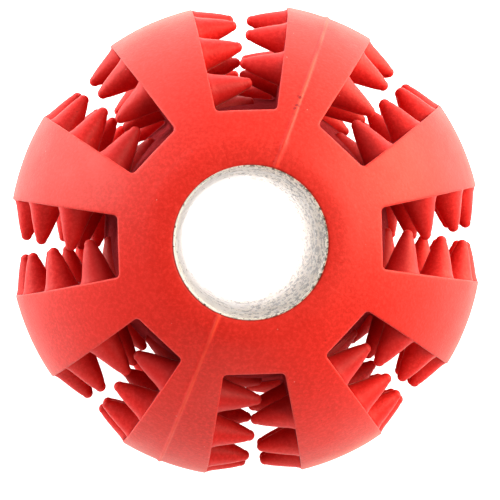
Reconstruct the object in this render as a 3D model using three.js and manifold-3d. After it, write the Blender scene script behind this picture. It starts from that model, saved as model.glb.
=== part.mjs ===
// Natural-rubber chew ball. A bore runs through it along Z. Eight windows, cut parallel to the
// bore, leave eight segments joined by a cap at each pole. Both side walls of every segment
// carry an outer and an inner row of pointed teeth that reach into the windows. The rows of
// opposite walls are staggered, so the teeth mesh like a zip.
// Millimetres, +Z along the bore, origin at the ball's centre.
import * as THREE from 'three';
import { mergeVertices } from 'three/addons/utils/BufferGeometryUtils.js';
import Module from 'manifold-3d';

const wasm = await Module();
wasm.setup();

// Driving dimensions
const ballRadius = 35.5;
const poleLandHeight = 33.5; // flat ring round each mouth of the bore
const boreRadius = 10;
const gap = 0.3; // clearance between neighbouring pieces

const windowCount = 8;
const windowApothem = 17.2; // distance of a window's straight inner end from the bore's axis
const windowInnerHalfWidth = 4;
const windowWallAngle = THREE.MathUtils.degToRad(10.1); // each wall's slope to the window's axis

const coreEquatorRadius = 21;
const coreEndRadius = 17.2;
const coreHalfHeight = 25.7;
const capUnderside = coreHalfHeight + gap;

const toothLength = 5.5;
const toothBaseRadius = 2.35;
const toothTipRadius = 0.85;
const toothTipLength = 0.8; // rounded end, as a short blunt cone
const outerRowRadius = 32.7; // circle that the centres of the teeth's bases lie on
const innerRowRadius = 26.4;
const outerPitch = THREE.MathUtils.degToRad(14.4);
// An odd wall has an outer tooth on the equator, an even wall has an inner one there.
const wallRows = {
  odd: { outer: 7, inner: 2, innerPitch: THREE.MathUtils.degToRad(58) },
  even: { outer: 8, inner: 3, innerPitch: THREE.MathUtils.degToRad(45) },
};
const plateThickness = 1; // plate let into the segment's wall, which the teeth stand on
const plateInnerRadius = 23.4;
const plateOuterRadius = 35.25;
const plateNearest = 18.05; // distance of the plate's two ends from the bore's axis

const seamAngle = THREE.MathUtils.degToRad(67.5); // half-plane of the mould's parting line
const seamWidth = 0.5;
const seamHeight = 0.2;
const seamReach = THREE.MathUtils.degToRad(56); // the flash's half-length, from the equator

// Fineness of the round surfaces
const turnSteps = 40;
const arcStep = THREE.MathUtils.degToRad(9);
const toothSides = 8;

const windowAngle = (2 * Math.PI) / windowCount;
// A window's wall planes pass this far behind the bore's axis, seen from the window.
const wallOffset =
  windowInnerHalfWidth * Math.cos(windowWallAngle) - windowApothem * Math.sin(windowWallAngle);

const rubber = (color) => new THREE.MeshStandardMaterial({ color, roughness: 0.55, metalness: 0 });
const colours = {
  core: rubber(0xa8242a),
  cap: rubber(0xe84038),
  segment: rubber(0xf0503f),
  teeth: rubber(0xd8342f),
};

function toSolid(geometry) {
  geometry.deleteAttribute('normal');
  geometry.deleteAttribute('uv');
  const merged = mergeVertices(geometry, 1e-4);
  return new wasm.Manifold(
    new wasm.Mesh({
      numProp: 3,
      vertProperties: new Float32Array(merged.attributes.position.array),
      triVerts: new Uint32Array(merged.index.array),
    }),
  );
}

function toGeometry(solid) {
  const mesh = solid.getMesh();
  const geometry = new THREE.BufferGeometry();
  geometry.setAttribute('position', new THREE.BufferAttribute(mesh.vertProperties, 3));
  geometry.setIndex(new THREE.BufferAttribute(mesh.triVerts, 1));
  geometry.computeVertexNormals();
  return geometry;
}

// Points (radius, height) at a polar angle measured from the equator
function arcPoints(radius, from, to) {
  const steps = Math.max(1, Math.round(Math.abs(to - from) / arcStep));
  return Array.from({ length: steps + 1 }, (_, i) => {
    const angle = from + ((to - from) * i) / steps;
    return new THREE.Vector2(radius * Math.cos(angle), radius * Math.sin(angle));
  });
}

// Turns a closed outline of (radius, height) points about Z.
function revolve(points, sides) {
  const closed = [...points, points[0].clone()];
  return new THREE.LatheGeometry(closed, sides).rotateX(Math.PI / 2);
}

// Upright prism of a plan outline, from z = low to z = high
function prism(shape, low, high) {
  const geometry = new THREE.ExtrudeGeometry(shape, { depth: high - low, bevelEnabled: false });
  return geometry.translate(0, 0, low);
}

function octagon(apothem) {
  const radius = apothem / Math.cos(windowAngle / 2);
  const corners = Array.from({ length: windowCount }, (_, i) => {
    const angle = (i + 0.5) * windowAngle;
    return new THREE.Vector2(radius * Math.cos(angle), radius * Math.sin(angle));
  });
  return new THREE.Shape(corners);
}

// Rotation about the bore's axis, as the list of numbers that a solid's transform takes
const turned = (angle) => new THREE.Matrix4().makeRotationZ(angle).toArray();

// Whole ball with its bore and its two flat pole lands
function ballSolid() {
  const landAngle = Math.asin(poleLandHeight / ballRadius);
  return toSolid(
    revolve(
      [
        new THREE.Vector2(boreRadius, -poleLandHeight),
        ...arcPoints(ballRadius, -landAngle, landAngle),
        new THREE.Vector2(boreRadius, poleLandHeight),
      ],
      turnSteps,
    ),
  );
}

// Barrel that bulges from its ends to its equator; clearance grows it outwards
function barrelSolid(innerRadius, clearance) {
  const bulge = coreEquatorRadius - coreEndRadius;
  const end = coreHalfHeight + clearance;
  const steps = 8;
  const side = Array.from({ length: steps + 1 }, (_, i) => {
    const t = (2 * i) / steps - 1;
    return new THREE.Vector2(coreEquatorRadius - bulge * t * t + clearance, t * end);
  });
  return toSolid(
    revolve(
      [
        new THREE.Vector2(innerRadius, -end),
        ...side,
        new THREE.Vector2(innerRadius, end),
      ],
      turnSteps,
    ),
  );
}

function capSolid(ball, side) {
  const low = side > 0 ? capUnderside : -ballRadius;
  const high = side > 0 ? ballRadius : -capUnderside;
  return ball.intersect(toSolid(prism(octagon(windowApothem), low, high)));
}

// Plan outline of a segment, along +X, between the walls of two neighbouring windows
function segmentOutline() {
  const reach = ballRadius + 5;
  const innerCorner = new THREE.Vector2(windowApothem, windowInnerHalfWidth);
  innerCorner.rotateAround(new THREE.Vector2(), -windowAngle / 2);
  const spread = Math.tan(windowAngle / 2 - windowWallAngle);
  const halfWidth = (x) => (x - innerCorner.x) * spread - innerCorner.y;
  return new THREE.Shape([
    new THREE.Vector2(innerCorner.x, -halfWidth(innerCorner.x)),
    new THREE.Vector2(reach, -halfWidth(reach)),
    new THREE.Vector2(reach, halfWidth(reach)),
    new THREE.Vector2(innerCorner.x, halfWidth(innerCorner.x)),
    new THREE.Vector2(coreEndRadius * 0.9, 0),
  ]);
}

// Frame of a window wall: X outwards along the wall, Z out of the wall into the window, and
// the origin on the wall's plane. side is +1 or -1, the wall's side of the window's centre line.
function wallMatrix(window, side) {
  const along = new THREE.Vector3(Math.cos(windowWallAngle), side * Math.sin(windowWallAngle), 0);
  const out = new THREE.Vector3(Math.sin(windowWallAngle), -side * Math.cos(windowWallAngle), 0);
  const up = new THREE.Vector3().crossVectors(out, along);
  const matrix = new THREE.Matrix4().makeBasis(along, up, out);
  matrix.setPosition(out.clone().multiplyScalar(-wallOffset));
  return matrix.premultiply(new THREE.Matrix4().makeRotationZ(window * windowAngle));
}

// Curved plate in the plane of a wall, with both ends cut parallel to the bore at x = nearest
function plateGeometry(inner, outer, nearest, thickness) {
  const innerEnd = Math.acos(nearest / inner);
  const outerEnd = Math.acos(nearest / outer);
  const outline = [
    ...arcPoints(inner, innerEnd, -innerEnd),
    ...arcPoints(outer, -outerEnd, outerEnd),
  ];
  return new THREE.ExtrudeGeometry(new THREE.Shape(outline), {
    depth: thickness,
    bevelEnabled: false,
  });
}

function toothGeometry() {
  const root = -plateThickness / 2;
  const shoulder = toothLength - toothTipLength;
  return revolve(
    [
      new THREE.Vector2(0, root),
      new THREE.Vector2(toothBaseRadius, root),
      new THREE.Vector2(toothBaseRadius, 0),
      new THREE.Vector2(toothTipRadius, shoulder),
      new THREE.Vector2(0, toothLength),
    ],
    toothSides,
  );
}

// Plate and teeth of one wall of the window on +X, kept clear of the core
function wallTeethSolid(kind, side) {
  const { outer, inner, innerPitch } = wallRows[kind];
  const plate = plateGeometry(plateInnerRadius, plateOuterRadius, plateNearest, plateThickness);
  let teeth = toSolid(plate.translate(0, 0, -plateThickness));
  for (const [count, radius, pitch] of [
    [outer, outerRowRadius, outerPitch],
    [inner, innerRowRadius, innerPitch],
  ]) {
    for (let i = 0; i < count; i += 1) {
      const angle = (i - (count - 1) / 2) * pitch;
      const tooth = toothGeometry();
      tooth.translate(radius * Math.cos(angle), radius * Math.sin(angle), 0);
      teeth = teeth.add(toSolid(tooth));
    }
  }
  return teeth.transform(wallMatrix(0, side).toArray()).subtract(barrelSolid(boreRadius / 2, gap));
}

// Thin rib left on a segment by the mould's parting line, in the plane through +X
function seamSolid() {
  const outline = [
    ...arcPoints(ballRadius + seamHeight, -seamReach, seamReach),
    ...arcPoints(ballRadius - 1, seamReach, -seamReach),
  ];
  const geometry = new THREE.ExtrudeGeometry(new THREE.Shape(outline), {
    depth: seamWidth,
    bevelEnabled: false,
  });
  geometry.translate(0, 0, -seamWidth / 2);
  return toSolid(geometry.rotateX(Math.PI / 2));
}

// The wall of a window that is nearer the parting line at seamAngle is an odd one.
function wallKind(window, side) {
  const towardsSeam = Math.sin(seamAngle - window * windowAngle);
  return towardsSeam * side > 0 ? 'odd' : 'even';
}

// Segment along +X, with a rebate in each wall for its plate of teeth
function segmentSolid(ball) {
  const half = turned(windowAngle / 2);
  const hub = toSolid(prism(octagon(windowApothem + gap), -ballRadius - 1, -coreHalfHeight))
    .add(toSolid(prism(octagon(windowApothem + gap), coreHalfHeight, ballRadius + 1)))
    .add(barrelSolid(boreRadius / 2, gap));
  const wedge = toSolid(prism(segmentOutline(), -ballRadius, ballRadius));
  let segment = ball.transform(half).intersect(wedge).subtract(hub.transform(half));
  const inner = plateInnerRadius - gap;
  const depth = plateThickness + gap;
  for (const side of [1, -1]) {
    const rebate = plateGeometry(inner, 2 * ballRadius, coreEndRadius / 2, 2 * depth);
    rebate.translate(0, 0, -depth);
    rebate.applyMatrix4(wallMatrix(-side / 2, side));
    segment = segment.subtract(toSolid(rebate));
  }
  return segment;
}

const group = new THREE.Group();

function addPiece(name, geometry, material) {
  const mesh = new THREE.Mesh(geometry, material);
  mesh.name = name;
  group.add(mesh);
  return mesh;
}

const ball = ballSolid();
addPiece('core_barrel', toGeometry(barrelSolid(boreRadius, 0)), colours.core);
addPiece('top_cap', toGeometry(capSolid(ball, 1)), colours.cap);
addPiece('bottom_cap', toGeometry(capSolid(ball, -1)), colours.cap);

const plainSegment = segmentSolid(ball);
const seamSegment = plainSegment.add(seamSolid());
const walls = {
  odd: { right: wallTeethSolid('odd', 1), left: wallTeethSolid('odd', -1) },
  even: { right: wallTeethSolid('even', 1), left: wallTeethSolid('even', -1) },
};
for (let i = 0; i < windowCount; i += 1) {
  const centre = (i + 0.5) * windowAngle;
  const onSeam = Math.abs(Math.sin(centre - seamAngle)) < 1e-6;
  const solid = onSeam ? seamSegment : plainSegment;
  const segment = addPiece(`segment_${i + 1}`, toGeometry(solid), colours.segment);
  segment.rotation.z = centre;
  for (const [window, side, edge] of [[i, 1, 'right'], [i + 1, -1, 'left']]) {
    const solidTeeth = walls[wallKind(window, side)][edge];
    const teeth = addPiece(`teeth_${i + 1}_${edge}`, toGeometry(solidTeeth), colours.teeth);
    teeth.rotation.z = window * windowAngle;
  }
}

export default group;
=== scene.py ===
"""Looks of the natural-rubber chew ball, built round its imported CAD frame."""

import math

import bmesh
import bpy
import numpy as np
from mathutils import Matrix, Vector, noise


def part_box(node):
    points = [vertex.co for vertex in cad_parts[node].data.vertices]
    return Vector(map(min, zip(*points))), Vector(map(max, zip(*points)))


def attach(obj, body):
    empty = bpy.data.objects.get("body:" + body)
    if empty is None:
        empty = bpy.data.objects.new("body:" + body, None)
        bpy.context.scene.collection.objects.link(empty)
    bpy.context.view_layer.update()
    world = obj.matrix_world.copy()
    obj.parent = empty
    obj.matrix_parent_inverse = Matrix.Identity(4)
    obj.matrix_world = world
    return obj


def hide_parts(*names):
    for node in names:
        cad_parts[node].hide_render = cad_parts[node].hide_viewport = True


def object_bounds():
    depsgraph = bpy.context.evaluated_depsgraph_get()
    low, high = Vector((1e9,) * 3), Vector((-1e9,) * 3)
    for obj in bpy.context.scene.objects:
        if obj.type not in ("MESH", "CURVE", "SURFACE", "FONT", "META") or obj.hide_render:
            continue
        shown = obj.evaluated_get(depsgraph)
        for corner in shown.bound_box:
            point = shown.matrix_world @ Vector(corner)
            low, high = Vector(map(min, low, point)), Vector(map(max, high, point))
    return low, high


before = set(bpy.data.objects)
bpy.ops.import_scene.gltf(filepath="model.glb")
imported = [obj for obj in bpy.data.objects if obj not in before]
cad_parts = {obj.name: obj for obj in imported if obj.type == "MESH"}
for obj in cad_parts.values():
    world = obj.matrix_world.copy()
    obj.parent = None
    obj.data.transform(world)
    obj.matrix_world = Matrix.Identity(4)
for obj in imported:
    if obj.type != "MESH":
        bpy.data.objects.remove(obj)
cad_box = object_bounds()

# Shapes are worked out in millimetres and turned into metres when a mesh is made.
MM = 0.001
SECTORS = 8
SECTOR = 2 * math.pi / SECTORS

# Sizes read from the frame
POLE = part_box("top_cap")[1].z / MM
SLOT_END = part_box("top_cap")[1].x / MM
CORE_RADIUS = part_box("core_barrel")[1].x / MM
CORE_HALF_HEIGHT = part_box("core_barrel")[1].z / MM

# Sizes close to the CAD part's. The ball is a little smaller, so that its edges stay in the box.
BALL_RADIUS = 35.18
BORE_RADIUS = 9.82
SLOT_HALF_WIDTH = 4.0
SLOT_SLOPE = math.radians(10.1)
TOOTH_LENGTH = 5.6
TOOTH_BASE_RADIUS = 2.3
OUTER_ROW_RADIUS = 32.6
OUTER_PITCH = math.radians(14.4)
INNER_ROW_RADIUS = 26.4
ODD_ROWS = (7, 2, math.radians(58))  # outer teeth, inner teeth and the inner row's pitch
EVEN_ROWS = (8, 3, math.radians(45))
SEAM_ANGLE = math.radians(67.5)
SEAM_OFFSET = 0.55  # the real parting line misses the bore's axis by this much

# Finer shapes than the CAD part holds
EDGE_RADIUS = 0.25  # of the edges between the slots and the outside
CORNER_RADIUS = 0.6  # of a slot's inner corners, in plan
CORE_SOFTNESS = 0.35  # of the bend from a slot's end face to the core's bulge
RIM_RADIUS = 0.3  # of the bore's mouths
LAND_SOFTNESS = 0.7  # of the bend from the ball to the flat land
FLASH_HEIGHT = 0.3
FLASH_WIDTH = 0.26
SKIN_THICKNESS = 0.15

# The plane of a slot's wall: its distance from the bore's axis, and the directions along it and
# into the rubber
WALL_OFFSET = SLOT_HALF_WIDTH * math.cos(SLOT_SLOPE) - SLOT_END * math.sin(SLOT_SLOPE)
WALL_ALONG = np.array([math.cos(SLOT_SLOPE), math.sin(SLOT_SLOPE), 0.0])
WALL_INTO = np.array([-math.sin(SLOT_SLOPE), math.cos(SLOT_SLOPE), 0.0])
UP = np.array([0.0, 0.0, 1.0])
SEAM_ALONG = np.array([math.cos(SEAM_ANGLE), math.sin(SEAM_ANGLE), 0.0])
SEAM_ACROSS = np.array([-math.sin(SEAM_ANGLE), math.cos(SEAM_ANGLE), 0.0])


# ---------------------------------------------------------------- the moulding's grids

END_STEPS = 7
CORNER_STEPS = 6
ROWS = 32
FILLET_STEPS = 4
RIM_STEPS = 4
WALL_POINTS = 8
SURFACE_POINTS = 8
CAP_POINTS = 18
BORE_POINTS = 10
CORNER_HALVINGS = 50
EDGE_STRIP = 0.4  # width of the side wall's first strip, which keeps the edge's shading narrow
FLASH_COLUMNS = np.linspace(0.98, 0.0, 12)  # mesh lines near a segment's middle plane


def slot_outline():
    """Half a slot's end in plan: points from the middle of its end face round the corner, and
    the directions that lead from them into the rubber."""
    centre_y = SLOT_HALF_WIDTH - CORNER_RADIUS * (1 - math.sin(SLOT_SLOPE)) / math.cos(SLOT_SLOPE)
    centre = np.array([SLOT_END + CORNER_RADIUS, centre_y])
    points = [np.array([SLOT_END, y]) for y in np.linspace(0, centre_y, END_STEPS, endpoint=False)]
    inward = [np.array([-1.0, 0.0])] * END_STEPS
    for angle in np.linspace(math.pi, math.pi / 2 + SLOT_SLOPE, CORNER_STEPS + 1):
        direction = np.array([math.cos(angle), math.sin(angle)])
        points.append(centre + CORNER_RADIUS * direction)
        inward.append(direction)
    return np.array(points), np.array(inward)


def end_wall_x(y, z):
    """Distance from the axis of a slot's inner wall: the flat end face, run softly into the core."""
    bulge = CORE_RADIUS - SLOT_END
    barrel = CORE_RADIUS - bulge * min(1.0, abs(z) / CORE_HALF_HEIGHT) ** 2
    difference = math.sqrt(barrel ** 2 - y ** 2) - SLOT_END
    return SLOT_END + (difference + math.sqrt(difference ** 2 + CORE_SOFTNESS ** 2)) / 2


def corner_shift(z, centre_y):
    """How far a slot's inner corner has moved out along the wall at height z."""
    return (end_wall_x(centre_y, z) - SLOT_END) / math.cos(SLOT_SLOPE)


def corner_height(theta, corner_s, centre_y):
    """Height at which a ray in the wall's plane, theta from the bore's axis, meets the corner."""
    low, high = 0.0, BALL_RADIUS
    for _ in range(CORNER_HALVINGS):
        middle = (low + high) / 2
        if corner_s + corner_shift(middle, centre_y) > middle * math.tan(theta):
            low = middle
        else:
            high = middle
    return low


def on_sphere(plan, radius):
    """The point above a place in plan that is a radius away from the ball's centre."""
    plan = np.asarray(plan)
    return np.array([plan[0], plan[1], math.sqrt(radius ** 2 - plan @ plan)])


def along_sphere(start, end, fractions):
    """Points on the ball's surface between two of its points."""
    line = start + np.outer(fractions, end - start)
    return BALL_RADIUS * line / np.linalg.norm(line, axis=1)[:, None]


def pole_height(radius, outer):
    """Height of a cap at a distance from the axis: the ball, run softly into the flat land.
    At the cap's outer edge it is the ball's own height."""
    ball = math.sqrt(BALL_RADIUS ** 2 - radius ** 2)
    land = POLE - FLASH_HEIGHT
    share = 1.0 if outer == math.inf else (outer - radius) / (outer - BORE_RADIUS)
    return (ball + land - math.hypot(ball - land, LAND_SOFTNESS * share)) / 2


def edge_grid(plan, inward, thetas):
    """Rounded edge of a slot: round the slot's end, then down the wall to the equator."""
    fillet = np.linspace(0, math.pi / 2, FILLET_STEPS + 1)
    depths = EDGE_RADIUS * (1 - np.cos(fillet))
    radii = BALL_RADIUS - EDGE_RADIUS * (1 - np.sin(fillet))
    foot = WALL_INTO * WALL_OFFSET
    edge = [[on_sphere(p + d * n, r) for d, r in zip(depths, radii)] for p, n in zip(plan, inward)]
    for theta in thetas:
        row = []
        for d, r in zip(depths, radii):
            reach = math.sqrt(r ** 2 - (WALL_OFFSET + d) ** 2)
            in_plane = reach * (math.sin(theta) * WALL_ALONG + math.cos(theta) * UP)
            row.append(foot + d * WALL_INTO + in_plane)
        edge.append(row)
    return np.array(edge)


def wall_grids(plan, corner_s, border, thetas):
    """Inner wall and side wall of a slot, which meet along its inner corner. The border is the
    line in which both meet the rounded edge."""
    last = len(plan) - 1
    centre_y = plan[END_STEPS][1]
    inner = [border[: last + 1]]
    side = []
    for outer_point, theta in zip(border[last + 1 :], thetas):
        z = corner_height(theta, corner_s, centre_y) if theta < math.pi / 2 else 0.0
        shift = corner_shift(z, centre_y)
        stretch = 1 + shift * math.sin(SLOT_SLOPE) / centre_y
        row = [[end_wall_x(y, z), y * stretch, z] for _, y in plan[:END_STEPS]]
        row += [[*(p + shift * WALL_ALONG[:2]), z] for p in plan[END_STEPS:]]
        inner.append(np.array(row))
        corner = inner[-1][last]
        length = np.linalg.norm(outer_point - corner)
        strip = min(EDGE_STRIP, length * 0.3) / length
        fractions = [0, *(strip + (1 - strip) * np.linspace(0, 1, WALL_POINTS))]
        side.append(outer_point + np.outer(fractions, corner - outer_point))
    start = np.repeat(border[last : last + 1], len(side[0]), axis=0)
    return np.array(inner), np.array([start, *side])


def surface_grid(border, thetas):
    """Outer surface of a segment, from its rounded edge to its middle plane."""
    middle = np.array([math.cos(SECTOR / 2), math.sin(SECTOR / 2), 0.0])
    across = np.array([-middle[1], middle[0], 0.0])
    surface = []
    for begin, theta in zip(border, thetas):
        end = BALL_RADIUS * (math.sin(theta) * middle + math.cos(theta) * UP)
        half_width = abs(begin @ across)
        wide = np.linspace(0, 1 - FLASH_COLUMNS[0] / half_width, SURFACE_POINTS)
        fractions = np.append(wide, 1 - FLASH_COLUMNS[1:] / half_width)
        surface.append(along_sphere(begin, end, fractions))
    return np.array(surface)


def cap_grid(outline):
    """Cap, land, rim and bore, on half-planes through the axis, from the cap's outline inwards."""
    hole = BORE_RADIUS + SKIN_THICKNESS
    rim_start = hole + RIM_RADIUS
    rim_top = pole_height(rim_start, math.inf)
    profile = [
        (hole + RIM_RADIUS * (1 - math.sin(a)), rim_top - RIM_RADIUS * (1 - math.cos(a)))
        for a in np.linspace(0, math.pi / 2, RIM_STEPS + 1)
    ]
    profile += [(hole, z) for z in np.linspace(rim_top - RIM_RADIUS, 0, BORE_POINTS)[1:]]
    cap = []
    for point in outline:
        outer = math.hypot(point[0], point[1])
        direction = np.array([point[0], point[1], 0.0]) / outer
        radii = np.linspace(outer, rim_start, CAP_POINTS)[1:-1]
        column = [(r, pole_height(r, outer)) for r in radii] + profile
        cap.append([point] + [direction * r + UP * z for r, z in column])
    return np.array(cap)


def patch_grids():
    """The grids of points that make one thirty-second of the moulding: half a slot and half a
    segment, from the equator up. Neighbouring grids share their border points."""
    plan, inward = slot_outline()
    corner_s = np.array([*plan[-1], 0.0]) @ WALL_ALONG
    thetas = np.linspace(math.asin(corner_s / BALL_RADIUS), math.pi / 2, ROWS + 1)
    edge = edge_grid(plan, inward, thetas[1:])
    inner, side = wall_grids(plan, corner_s, edge[:, 0], thetas[1:])
    surface = surface_grid(edge[len(plan) - 1 :, -1], thetas)
    outline = np.concatenate([edge[: len(plan), -1], surface[0, 1:]])
    return [edge, inner, side, surface, cap_grid(outline)]


# ---------------------------------------------------------------- the moulding

# Materials of the five grids. The inner wall and the side wall take the second one, the dull one
# of the slots, whose darker red is painted shade.
GRID_MATERIALS = (0, 1, 1, 0, 0)
MERGE_DISTANCE = 0.002
SLIVER_LENGTH = 0.0005

# Blemishes on the parting line: distance from the bore's axis, height and length
SEAM_BLEMISHES = ((13.4, 0.16, 0.9), (18.9, -0.22, 0.45), (20.0, -0.2, 0.4), (-21.5, 0.12, 0.8))
BLEMISH_WIDTH = 0.45

WAVE_HEIGHT = 0.035  # of the moulded surface's unevenness
WAVE_SINKING = 0.6  # share of that height by which the outside is lowered, to stay in the box
SLOT_WAVE_RATIO = 1.5  # the slots' walls are more uneven than the outside
LAND_DEPTH = 1.3  # this near the pole's height, the flash stands up instead of outwards
HOLE_MARGIN = 2.0  # this near the bore, the moulding is left smooth under the bore's skin


def grid_faces(bm, grid, material_index):
    """Adds a grid of points, in millimetres, as quads."""
    rows, columns = grid.shape[:2]
    verts = [[bm.verts.new(p * MM) for p in row] for row in grid]
    for i in range(rows - 1):
        for j in range(columns - 1):
            corners = (verts[i][j], verts[i + 1][j], verts[i + 1][j + 1], verts[i][j + 1])
            bm.faces.new(corners).material_index = material_index


def seam_noise(reach, z, scale, seed):
    """Noise along the parting line, by distance from the axis and height."""
    return noise.noise(Vector((reach * scale, z * scale, seed)))


def flash_height(point):
    """Height of the parting line's flash at a point of the outer surface, in millimetres."""
    reach = point @ SEAM_ALONG
    distance = abs(point @ SEAM_ACROSS - SEAM_OFFSET)
    if distance > 4 * FLASH_WIDTH:
        return 0.0
    rough = seam_noise(reach, point[2], scale=0.45, seed=3.7)
    ragged = seam_noise(reach, point[2], scale=1.9, seed=8.1)
    height = FLASH_HEIGHT * max(0.0, min(1.0, 0.72 + 0.5 * rough + 0.25 * ragged))
    height *= math.exp(-((distance / FLASH_WIDTH) ** 2))
    for place, rise, length in SEAM_BLEMISHES:
        spread = ((reach - place) / length) ** 2 + (distance / BLEMISH_WIDTH) ** 2
        height += rise * math.exp(-spread) if point[2] > 0 else 0.0
    return min(height, FLASH_HEIGHT)


def waves(point):
    """Broad and finer waves of the moulded surface, between about -1 and 1."""
    place = Vector(point)
    return noise.noise(place * 0.11) + 0.4 * noise.noise(place * 0.35)


def roughen(bm):
    """Moves the moulding's vertices by the flash and the waves."""
    for vert in bm.verts:
        point = np.array(vert.co) / MM
        reach = math.hypot(point[0], point[1])
        if abs(point[2]) > POLE - LAND_DEPTH and reach > BORE_RADIUS + RIM_RADIUS:
            vert.co.z += math.copysign(flash_height(point), point[2]) * MM
        elif np.linalg.norm(point) > BALL_RADIUS - EDGE_RADIUS / 2:
            lift = flash_height(point) + WAVE_HEIGHT * (waves(point) - WAVE_SINKING)
            vert.co += vert.co.normalized() * lift * MM
        elif reach > BORE_RADIUS + HOLE_MARGIN:
            vert.co += vert.normal * WAVE_HEIGHT * SLOT_WAVE_RATIO * waves(point) * MM


def finish_mesh(bm, name):
    """Turns a bmesh into a smooth-shaded object of the scene."""
    mesh = bpy.data.meshes.new(name)
    bm.to_mesh(mesh)
    bm.free()
    mesh.shade_smooth()
    piece = bpy.data.objects.new(name, mesh)
    bpy.context.scene.collection.objects.link(piece)
    return piece


def make_moulding():
    """Caps, segments and core as the one seamless moulding that they are."""
    bm = bmesh.new()
    same = np.eye(3)
    flip_side = np.diag([1.0, -1.0, 1.0])
    flip_up = np.diag([1.0, 1.0, -1.0])
    grids = patch_grids()
    for sector in range(SECTORS):
        turn = np.array(Matrix.Rotation(sector * SECTOR, 3, "Z"))
        for side in (same, flip_side):
            for half in (same, flip_up):
                place = turn @ side @ half
                for grid, material_index in zip(grids, GRID_MATERIALS):
                    grid_faces(bm, grid @ place.T, material_index)
    bmesh.ops.remove_doubles(bm, verts=bm.verts, dist=MERGE_DISTANCE * MM)
    bmesh.ops.dissolve_degenerate(bm, dist=SLIVER_LENGTH * MM, edges=bm.edges)
    bmesh.ops.recalc_face_normals(bm, faces=bm.faces)
    bm.normal_update()
    roughen(bm)
    return finish_mesh(bm, "ball_moulding")


# ---------------------------------------------------------------- the bore's skin

BORE_COLUMNS = 160
BORE_LEVELS = 150
MARK_DEPTH = 0.06


def marked_radius(angle, z):
    """Radius of the bore's wall at a place on it, with the marks that the mould's pin left."""
    place = Vector((math.cos(angle) * 1.6, math.sin(angle) * 1.6, z * 1.3))
    marks = noise.noise(place) + 0.5 * noise.noise(place * 2.3)
    return BORE_RADIUS + MARK_DEPTH * max(-1.0, min(1.0, marks))


def make_bore_skin():
    """Dusty, marked wall of the bore, as a thin sleeve inside the moulding's hole."""
    half = POLE - FLASH_HEIGHT - RIM_RADIUS * 0.55  # it ends within the rounded rims
    outer_radius = BORE_RADIUS + SKIN_THICKNESS * 0.93  # just short of the hole
    bm = bmesh.new()
    section = [(True, z) for z in np.linspace(-half, half, BORE_LEVELS)]
    section += [(False, half), (False, -half)]
    rings = []
    for marked, z in section:
        ring = []
        for step in range(BORE_COLUMNS):
            angle = 2 * math.pi * step / BORE_COLUMNS
            r = marked_radius(angle, z) if marked else outer_radius
            ring.append(bm.verts.new(Vector((r * math.cos(angle), r * math.sin(angle), z)) * MM))
        rings.append(ring)
    for index, ring in enumerate(rings):
        after = rings[(index + 1) % len(rings)]
        for step in range(BORE_COLUMNS):
            ahead = (step + 1) % BORE_COLUMNS
            bm.faces.new((ring[step], after[step], after[ahead], ring[ahead]))
    bmesh.ops.recalc_face_normals(bm, faces=bm.faces)
    return finish_mesh(bm, "bore_skin")


# ---------------------------------------------------------------- the teeth

TOOTH_SIDES = 28
TOOTH_LEVELS = 13
TIP_STEPS = 7
TIP_RADIUS = 0.78
TAPER = 0.84  # below 1 the tooth's side bulges
ROOT_DEPTH = 0.5  # how far the root is sunk into the wall
ROOT_FLARE = 0.14
FLARE_DEPTH = 0.12  # where the flare is widest, under the wall's surface

# How much the teeth differ from each other
LENGTH_SPREAD = 0.03
LEAN_SPREAD = 0.12
LEAN_REACH = 0.35  # share of a tooth's length by which the tip would move at a lean of 1
ROUNDNESS_SPREAD = 0.02


def tooth_profile(length):
    """(distance from the wall, radius) from the buried root to the tip. The flare at the root
    fades out over a fifth of the tooth."""
    tip_start = length - TIP_RADIUS
    points = [(-ROOT_DEPTH, TOOTH_BASE_RADIUS * 0.9), (-FLARE_DEPTH, TOOTH_BASE_RADIUS + ROOT_FLARE)]
    for t in np.linspace(0, 1, TOOTH_LEVELS):
        flare = ROOT_FLARE * max(0.0, 1 - 5 * t) ** 2
        body = TIP_RADIUS + (TOOTH_BASE_RADIUS - TIP_RADIUS) * (1 - t) ** TAPER
        points.append((t * tip_start, body + flare))
    for angle in np.linspace(0, math.pi / 2, TIP_STEPS + 1)[1:-1]:
        points.append((tip_start + TIP_RADIUS * math.sin(angle), TIP_RADIUS * math.cos(angle)))
    return points


def wall_frame(slot, side):
    """Directions along a slot's wall and out of it, and the wall's point nearest the axis."""
    along = np.array([math.cos(SLOT_SLOPE), side * math.sin(SLOT_SLOPE), 0.0])
    out = np.array([math.sin(SLOT_SLOPE), -side * math.cos(SLOT_SLOPE), 0.0])
    turn = np.array(Matrix.Rotation(slot * SECTOR, 3, "Z"))
    return turn @ along, turn @ out, turn @ (-WALL_OFFSET * out)


def row_teeth(slot, side):
    """The wall of a slot that is nearer the parting line at SEAM_ANGLE has an odd outer row."""
    return ODD_ROWS if math.sin(SEAM_ANGLE - slot * SECTOR) * side > 0 else EVEN_ROWS


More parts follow.
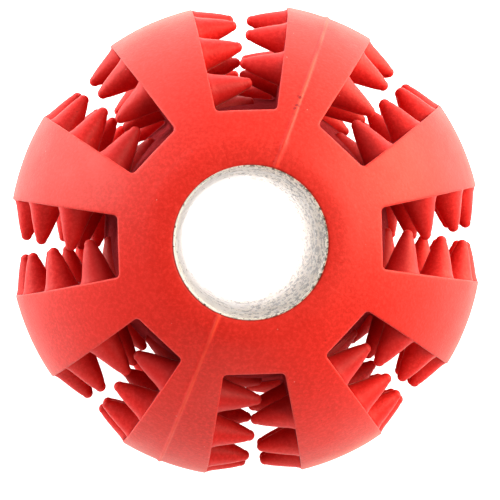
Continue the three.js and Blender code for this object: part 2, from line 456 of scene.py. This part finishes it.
def add_tooth(bm, base, out, along, seed):
    """One tooth on a wall, slightly its own in length, lean and roundness."""
    vary = [noise.noise(Vector((seed * 1.7, 4.1 * k, 0.3))) for k in range(5)]
    length = TOOTH_LENGTH * (1 + LENGTH_SPREAD * vary[0])
    lean = LEAN_SPREAD * vary[1] * along + LEAN_SPREAD * vary[2] * UP
    third = np.cross(out, along)
    rings = []
    for distance, radius in tooth_profile(length):
        share = max(0.0, distance / length)
        centre = base + out * distance + lean * share ** 1.5 * length * LEAN_REACH
        ring = []
        for step in range(TOOTH_SIDES):
            angle = 2 * math.pi * step / TOOTH_SIDES
            out_of_round = 1 + ROUNDNESS_SPREAD * vary[3] * math.cos(2 * angle + vary[4])
            offset = radius * out_of_round * (math.cos(angle) * along + math.sin(angle) * third)
            ring.append(bm.verts.new(Vector(centre + offset) * MM))
        rings.append(ring)
    tip = bm.verts.new(Vector(base + out * length + lean * length * LEAN_REACH) * MM)
    for low, high in zip(rings, rings[1:]):
        for step in range(TOOTH_SIDES):
            ahead = (step + 1) % TOOTH_SIDES
            bm.faces.new((low[step], low[ahead], high[ahead], high[step]))
    for step in range(TOOTH_SIDES):
        bm.faces.new((rings[-1][step], rings[-1][(step + 1) % TOOTH_SIDES], tip))
    bm.faces.new(rings[0])


def make_tooth_row(name, slot, side):
    """All the teeth on one wall of a slot. The side is 1 or -1, for its +Y or -Y wall before the
    slot is turned into place."""
    along, out, origin = wall_frame(slot, side)
    outer, inner, inner_pitch = row_teeth(slot, side)
    rows = ((outer, OUTER_ROW_RADIUS, OUTER_PITCH), (inner, INNER_ROW_RADIUS, inner_pitch))
    bm = bmesh.new()
    for teeth, radius, pitch in rows:
        for index in range(teeth):
            angle = (index - (teeth - 1) / 2) * pitch
            base = origin + radius * (math.cos(angle) * along + math.sin(angle) * UP)
            add_tooth(bm, base, out, along, seed=slot * 20 + side * 9 + index + radius)
    bmesh.ops.recalc_face_normals(bm, faces=bm.faces)
    return finish_mesh(bm, name)


# ---------------------------------------------------------------- materials

class Nodes:
    """Shorthand for building one material's node tree. Places are in metres."""

    def __init__(self, name):
        self.material = bpy.data.materials.new(name)
        self.material.use_nodes = True
        self.tree = self.material.node_tree
        self.shader = self.tree.nodes["Principled BSDF"]
        self.place = self.add("ShaderNodeTexCoord").outputs["Object"]

    def add(self, kind, **settings):
        node = self.tree.nodes.new(kind)
        for key, value in settings.items():
            setattr(node, key, value)
        return node

    def link(self, source, target):
        self.tree.links.new(source, target)

    def scaled(self, scale):
        """The shaded point's place, stretched by a scale."""
        node = self.add("ShaderNodeMapping")
        node.inputs["Scale"].default_value = scale
        self.link(self.place, node.inputs["Vector"])
        return node.outputs["Vector"]

    def noise(self, scale, detail=2.0, roughness=0.5, vector=None):
        node = self.add("ShaderNodeTexNoise")
        node.inputs["Scale"].default_value = scale
        node.inputs["Detail"].default_value = detail
        node.inputs["Roughness"].default_value = roughness
        self.link(vector or self.place, node.inputs["Vector"])
        return node.outputs["Fac"]

    def fill(self, socket, value):
        """Links a node's output into a socket, or sets a number or a colour on it."""
        if isinstance(value, bpy.types.NodeSocket):
            self.link(value, socket)
        else:
            socket.default_value = (*value, 1.0) if isinstance(value, tuple) else value

    def mix(self, factor, first, second):
        """Mixes two colours. In a Mix node they are inputs 6 and 7, and the result is output 2."""
        node = self.add("ShaderNodeMix", data_type="RGBA")
        self.fill(node.inputs[0], factor)
        self.fill(node.inputs[6], first)
        self.fill(node.inputs[7], second)
        return node.outputs[2]

    def mask(self, value, none_at, full_at, top=1.0):
        """0 where the value is none_at or beyond it, rising to top where it is full_at."""
        node = self.add("ShaderNodeMapRange")
        node.inputs["From Min"].default_value = none_at
        node.inputs["From Max"].default_value = full_at
        node.inputs["To Max"].default_value = top
        self.link(value, node.inputs["Value"])
        return node.outputs["Result"]

    def math(self, operation, first, second=0.0):
        node = self.add("ShaderNodeMath", operation=operation)
        self.fill(node.inputs[0], first)
        self.fill(node.inputs[1], second)
        return node.outputs["Value"]

    def along(self, direction):
        """Distance of the shaded point along a direction."""
        node = self.add("ShaderNodeVectorMath", operation="DOT_PRODUCT")
        self.link(self.place, node.inputs[0])
        node.inputs[1].default_value = direction
        return node.outputs["Value"]

    def band(self, value, centre, half_width):
        """1 near the centre value, 0 beyond the half width on either side."""
        shifted = self.math("ABSOLUTE", self.math("SUBTRACT", value, centre))
        return self.mask(shifted, none_at=half_width, full_at=half_width * 0.4)

    def specks(self, scale, size):
        """Scattered round spots with soft edges: 1 in a spot, 0 elsewhere."""
        node = self.add("ShaderNodeTexVoronoi")
        node.inputs["Scale"].default_value = scale
        self.link(self.place, node.inputs["Vector"])
        return self.mask(node.outputs["Distance"], none_at=size, full_at=size * 0.6)

    def bump(self, height, strength, distance, normal=None):
        node = self.add("ShaderNodeBump")
        node.inputs["Strength"].default_value = strength
        node.inputs["Distance"].default_value = distance
        self.link(height, node.inputs["Height"])
        if normal:
            self.link(normal, node.inputs["Normal"])
        return node.outputs["Normal"]


def parting_line(n, base):
    """Tints the parting line: a painted highlight along its ridge, a painted shadow in a line beside
    it and a few scars.
    """
    across = n.along(SEAM_ACROSS)
    low_down = n.mask(n.along(UP), none_at=0.034, full_at=0.020)
    upper_side = n.mask(n.along(SEAM_ALONG), none_at=0.0, full_at=0.014)

    # Painted highlight along the flash's ridge.
    rib_highlight = n.band(across, centre=(SEAM_OFFSET - 0.04) * MM, half_width=0.3 * MM)
    patches = n.mask(n.noise(scale=170.0, detail=3.0), none_at=0.30, full_at=0.56, top=0.9)
    rib_highlight = n.math("MULTIPLY", rib_highlight, patches)

    # Painted shadow in a line beside the flash's ridge.
    crease_shadow = n.band(across, centre=(SEAM_OFFSET + 0.29) * MM, half_width=0.16 * MM)
    dashes = n.mask(n.noise(scale=200.0, detail=3.0), none_at=0.30, full_at=0.52)
    crease_shadow = n.math("MULTIPLY", crease_shadow, dashes)
    crease_shadow = n.math("MULTIPLY", crease_shadow, n.math("MULTIPLY", low_down, upper_side))

    spots = n.specks(scale=1300.0, size=0.42)
    scars = n.math("MULTIPLY", spots, n.band(across, SEAM_OFFSET * MM, half_width=0.7 * MM))
    scarred = n.band(n.along(SEAM_ALONG), centre=19.4 * MM, half_width=2.4 * MM)
    scars = n.math("MULTIPLY", scars, scarred)

    # The bright colour is a painted highlight and the dark one a painted shadow; the last colour is
    # the scars'.
    base = n.mix(rib_highlight, base, (1.0, 0.075, 0.036))
    base = n.mix(crease_shadow, base, (0.45, 0.010, 0.007))
    return n.mix(scars, base, (0.42, 0.010, 0.008))


def rubber_material(name, colour, shade, gloss, seam=False, recess_shade=False):
    """Moulded natural rubber: uneven pigment, fine grain, small pits and a few specks of dust.
    With recess_shade, painted shade darkens the rubber towards the bore's axis."""
    n = Nodes(name)
    shader = n.shader
    deep = tuple(c * shade for c in colour)
    light = tuple(min(1.0, c * 1.12 + 0.016) for c in colour)
    pitted = tuple(c * 0.72 for c in colour)

    clouds = n.noise(scale=95.0, detail=4.0, roughness=0.6)
    base = n.mix(n.mask(clouds, none_at=0.3, full_at=0.72), deep, colour)
    grain = n.noise(scale=2100.0, detail=3.0, roughness=0.7)
    base = n.mix(n.mask(grain, none_at=0.42, full_at=0.68, top=0.9), base, light)
    pits = n.specks(scale=420.0, size=0.05)
    base = n.mix(pits, base, pitted)
    base = n.mix(n.specks(scale=300.0, size=0.026), base, (0.9, 0.34, 0.28))
    if seam:
        base = parting_line(n, base)
    if recess_shade:
        # Painted shade: deep in the slots, the rubber darkens towards the bore's axis.
        reach = n.add("ShaderNodeVectorMath", operation="LENGTH")
        n.link(n.scaled((1.0, 1.0, 0.0)), reach.inputs[0])
        recess_shade_mask = n.mask(reach.outputs["Value"], none_at=0.027, full_at=0.018, top=0.6)
        base = n.mix(recess_shade_mask, base, (0.36, 0.008, 0.010))
    n.link(base, shader.inputs["Base Color"])

    rough = n.add("ShaderNodeMapRange")
    rough.inputs["To Min"].default_value = 0.42
    rough.inputs["To Max"].default_value = 0.60
    n.link(n.noise(scale=260.0, detail=3.0), rough.inputs["Value"])
    n.link(rough.outputs["Result"], shader.inputs["Roughness"])

    fine = n.noise(scale=2600.0, detail=3.0, roughness=0.65)
    relief = n.bump(fine, strength=0.4, distance=0.0001)
    broad = n.noise(scale=420.0, detail=3.0, roughness=0.5)
    relief = n.bump(broad, strength=0.12, distance=0.0003, normal=relief)
    relief = n.bump(pits, strength=-0.3, distance=0.0001, normal=relief)
    n.link(relief, shader.inputs["Normal"])

    shader.inputs["Specular IOR Level"].default_value = gloss
    shader.inputs["Sheen Weight"].default_value = 0.9 * gloss
    shader.inputs["Sheen Roughness"].default_value = 0.24
    shader.inputs["Sheen Tint"].default_value = (1.0, 0.86, 0.74, 1.0)
    shader.inputs["Subsurface Weight"].default_value = 0.08
    shader.inputs["Subsurface Radius"].default_value = (1.0, 0.12, 0.08)
    shader.inputs["Subsurface Scale"].default_value = 0.0012
    return n.material


def bore_material():
    """Talc-dusted wall of the bore: nearly white on one side and scuffed on the other, with dark
    chips all round, denser near the upper mouth as painted shadow at the rim, and a red tint towards
    the far end."""
    n = Nodes("bore_talc")
    shader = n.shader
    grain = n.noise(scale=1500.0, detail=4.0, roughness=0.75, vector=n.scaled((1.0, 1.0, 0.17)))
    chips = n.noise(scale=1500.0, detail=3.0, roughness=0.7, vector=n.scaled((1.0, 1.0, 0.16)))

    worn_side = n.mask(n.along((0.97, -0.24, 0.0)), none_at=-0.009, full_at=0.009, top=0.36)
    worn = n.math("ADD", n.noise(scale=150.0, detail=3.0, roughness=0.6), worn_side)
    worn = n.mask(worn, none_at=0.56, full_at=0.80)
    stained = n.mask(grain, none_at=0.38, full_at=0.31)
    talc = n.mix(stained, (0.95, 0.94, 0.93), (0.18, 0.12, 0.09))
    dusty = n.mask(grain, none_at=0.43, full_at=0.52)
    scuffed = n.mix(dusty, (0.045, 0.026, 0.015), (0.88, 0.82, 0.72))
    base = n.mix(worn, talc, scuffed)

    # Painted shadow: the dark chips grow denser near the upper mouth, where the rim casts shade.
    rim_shadow = n.mask(n.along(UP), none_at=0.028, full_at=0.033, top=0.06)
    chips = n.math("ADD", chips, rim_shadow)
    chips_and_rim_shadow = n.mask(chips, none_at=0.655, full_at=0.69, top=0.97)
    base = n.mix(chips_and_rim_shadow, base, (0.03, 0.018, 0.014))
    far_end = n.mask(n.along(UP), none_at=-0.002, full_at=-0.033, top=0.5)
    base = n.mix(far_end, base, (0.94, 0.68, 0.58))
    n.link(base, shader.inputs["Base Color"])

    relief = n.bump(grain, strength=0.6, distance=0.0003)
    relief = n.bump(chips, strength=0.5, distance=0.0002, normal=relief)
    n.link(relief, shader.inputs["Normal"])
    shader.inputs["Roughness"].default_value = 0.5
    shader.inputs["Specular IOR Level"].default_value = 0.4
    return n.material


def floor_material():
    """Pale floor that glows, more on the +Y side than on the -Y side."""
    n = Nodes("pale_floor")
    cloudy = n.mask(n.noise(scale=6.0, detail=2.0), none_at=0.3, full_at=0.7)
    tint = n.mix(cloudy, (0.45, 0.45, 0.45), (0.49, 0.49, 0.49))
    n.link(tint, n.shader.inputs["Base Color"])
    n.shader.inputs["Roughness"].default_value = 0.7
    n.shader.inputs["Emission Color"].default_value = (1.0, 1.0, 1.0, 1.0)
    far_side = n.mask(n.along((0.0, 1.0, 0.0)), none_at=-0.08, full_at=0.03, top=1.25)
    n.link(n.math("ADD", far_side, 0.72), n.shader.inputs["Emission Strength"])
    return n.material


# ---------------------------------------------------------------- assembly

def settle(piece, material, slot, *nodes):
    """Gives a piece its material, its body and the frame's nodes that it replaces. The slot is not
    used.
    """
    piece.data.materials.append(material)
    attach(piece, "root")
    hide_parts(*nodes)


red = rubber_material("red_rubber", (0.88, 0.021, 0.009), shade=0.88, gloss=0.36, seam=True)
# Painted shade: the slots' walls are the same rubber as the outside, coloured a darker red.
slot_shaded_red = rubber_material("slot_shaded_rubber", (0.34, 0.024, 0.030), shade=0.85, gloss=0.0)
# The teeth carry painted shade that darkens them towards the bore's axis.
tooth_red = rubber_material("tooth_rubber", (0.92, 0.020, 0.016), shade=0.86, gloss=0.3, recess_shade=True)

segments = [f"segment_{i + 1}" for i in range(SECTORS)]
moulding = make_moulding()
settle(moulding, red, "segment_rubber", "top_cap", "bottom_cap", *segments)
moulding.data.materials.append(slot_shaded_red)
settle(make_bore_skin(), bore_material(), "core_rubber", "core_barrel")
for sector in range(SECTORS):
    for slot, side, edge in ((sector, 1, "right"), (sector + 1, -1, "left")):
        label = f"{sector + 1}_{edge}"
        row = make_tooth_row(f"tooth_row_{label}", slot, side)
        settle(row, tooth_red, "tooth_rubber", f"teeth_{label}")


# ---------------------------------------------------------------- floor, light, camera

FLOOR_REACH = 3.0  # metres from the floor's middle to its sides
LAMP_LIFT = 0.5  # millimetres from the floor to the lamp under the bore


def make_floor():
    bm = bmesh.new()
    bmesh.ops.create_grid(bm, x_segments=8, y_segments=8, size=FLOOR_REACH)
    floor = finish_mesh(bm, "floor")
    floor.location.z = cad_box[0].z
    floor.data.materials.append(floor_material())


def area_light(name, location, size, power, colour=(1.0, 1.0, 1.0)):
    """A square lamp that faces the ball's centre."""
    data = bpy.data.lights.new(name, "AREA")
    data.size = size
    data.energy = power
    data.color = colour
    light = bpy.data.objects.new(name, data)
    light.location = location
    light.rotation_mode = "QUATERNION"
    light.rotation_quaternion = (-Vector(location)).to_track_quat("-Z", "Y")
    bpy.context.scene.collection.objects.link(light)


def make_world():
    """Pale studio: brightest low down on the +Y side, dim overhead."""
    world = bpy.data.worlds.new("studio")
    world.use_nodes = True
    tree = world.node_tree
    background = tree.nodes["Background"]
    place = tree.nodes.new("ShaderNodeTexCoord")
    split = tree.nodes.new("ShaderNodeSeparateXYZ")
    tree.links.new(place.outputs["Generated"], split.inputs["Vector"])
    height = tree.nodes.new("ShaderNodeMapRange")
    height.inputs["From Min"].default_value = 0.0
    height.inputs["From Max"].default_value = 0.6
    height.inputs["To Min"].default_value = 0.8
    height.inputs["To Max"].default_value = 0.2
    tree.links.new(split.outputs["Z"], height.inputs["Value"])
    side = tree.nodes.new("ShaderNodeMapRange")
    side.inputs["From Min"].default_value = -1.0
    side.inputs["To Min"].default_value = 0.1
    side.inputs["To Max"].default_value = 1.7
    tree.links.new(split.outputs["Y"], side.inputs["Value"])
    both = tree.nodes.new("ShaderNodeMath")
    both.operation = "MULTIPLY"
    tree.links.new(height.outputs["Result"], both.inputs[0])
    tree.links.new(side.outputs["Result"], both.inputs[1])
    tree.links.new(both.outputs["Value"], background.inputs["Strength"])
    background.inputs["Color"].default_value = (1.0, 1.0, 1.0, 1.0)
    bpy.context.scene.world = world


CAMERA_DISTANCE = 0.224
POLE_LEAN = (0.0223, -0.0164)  # the top pole's lean in the picture, right and up, in radians
AIM_OFFSET = (-0.00282, 0.00658)  # where the ball's centre falls beside the picture's, in radians
ROLL = math.radians(1.7)


def make_camera():
    """Looks down the bore from just off its axis, as close as the photograph's view."""
    data = bpy.data.cameras.new("camera")
    data.sensor_width = 36
    data.lens = 107.2
    data.clip_start = 0.01
    data.clip_end = 20
    camera = bpy.data.objects.new("camera", data)
    axis = Vector((*POLE_LEAN, 1.0)).normalized()
    across = Vector((1, 0, 0))
    across = (across - axis * across.dot(axis)).normalized()
    object_axes = Matrix((across, axis.cross(across), axis)).transposed()
    to_camera = object_axes @ Matrix.Rotation(ROLL, 3, "Z")
    centre = Vector((*AIM_OFFSET, -1.0)) * CAMERA_DISTANCE
    camera.matrix_world = Matrix.LocRotScale(centre, to_camera, None).inverted()
    bpy.context.scene.collection.objects.link(camera)
    bpy.context.scene.camera = camera


make_floor()
make_world()
area_light("key", (0.46, 0.16, 0.50), size=0.45, power=2.8, colour=(1.0, 0.88, 0.70))
area_light("under_bore", UP * (LAMP_LIFT - POLE) * MM, size=0.016, power=0.0021)
area_light("rim_left", (-0.58, 0.34, 0.06), size=0.35, power=3.5, colour=(1.0, 0.94, 0.86))
area_light("rim_right", (0.60, 0.26, 0.12), size=0.35, power=3.8, colour=(1.0, 0.84, 0.54))
area_light("bounce", (-0.10, -0.62, 0.26), size=0.35, power=1.6, colour=(1.0, 0.66, 0.55))
make_camera()
bpy.context.scene.view_settings.view_transform = "Standard"
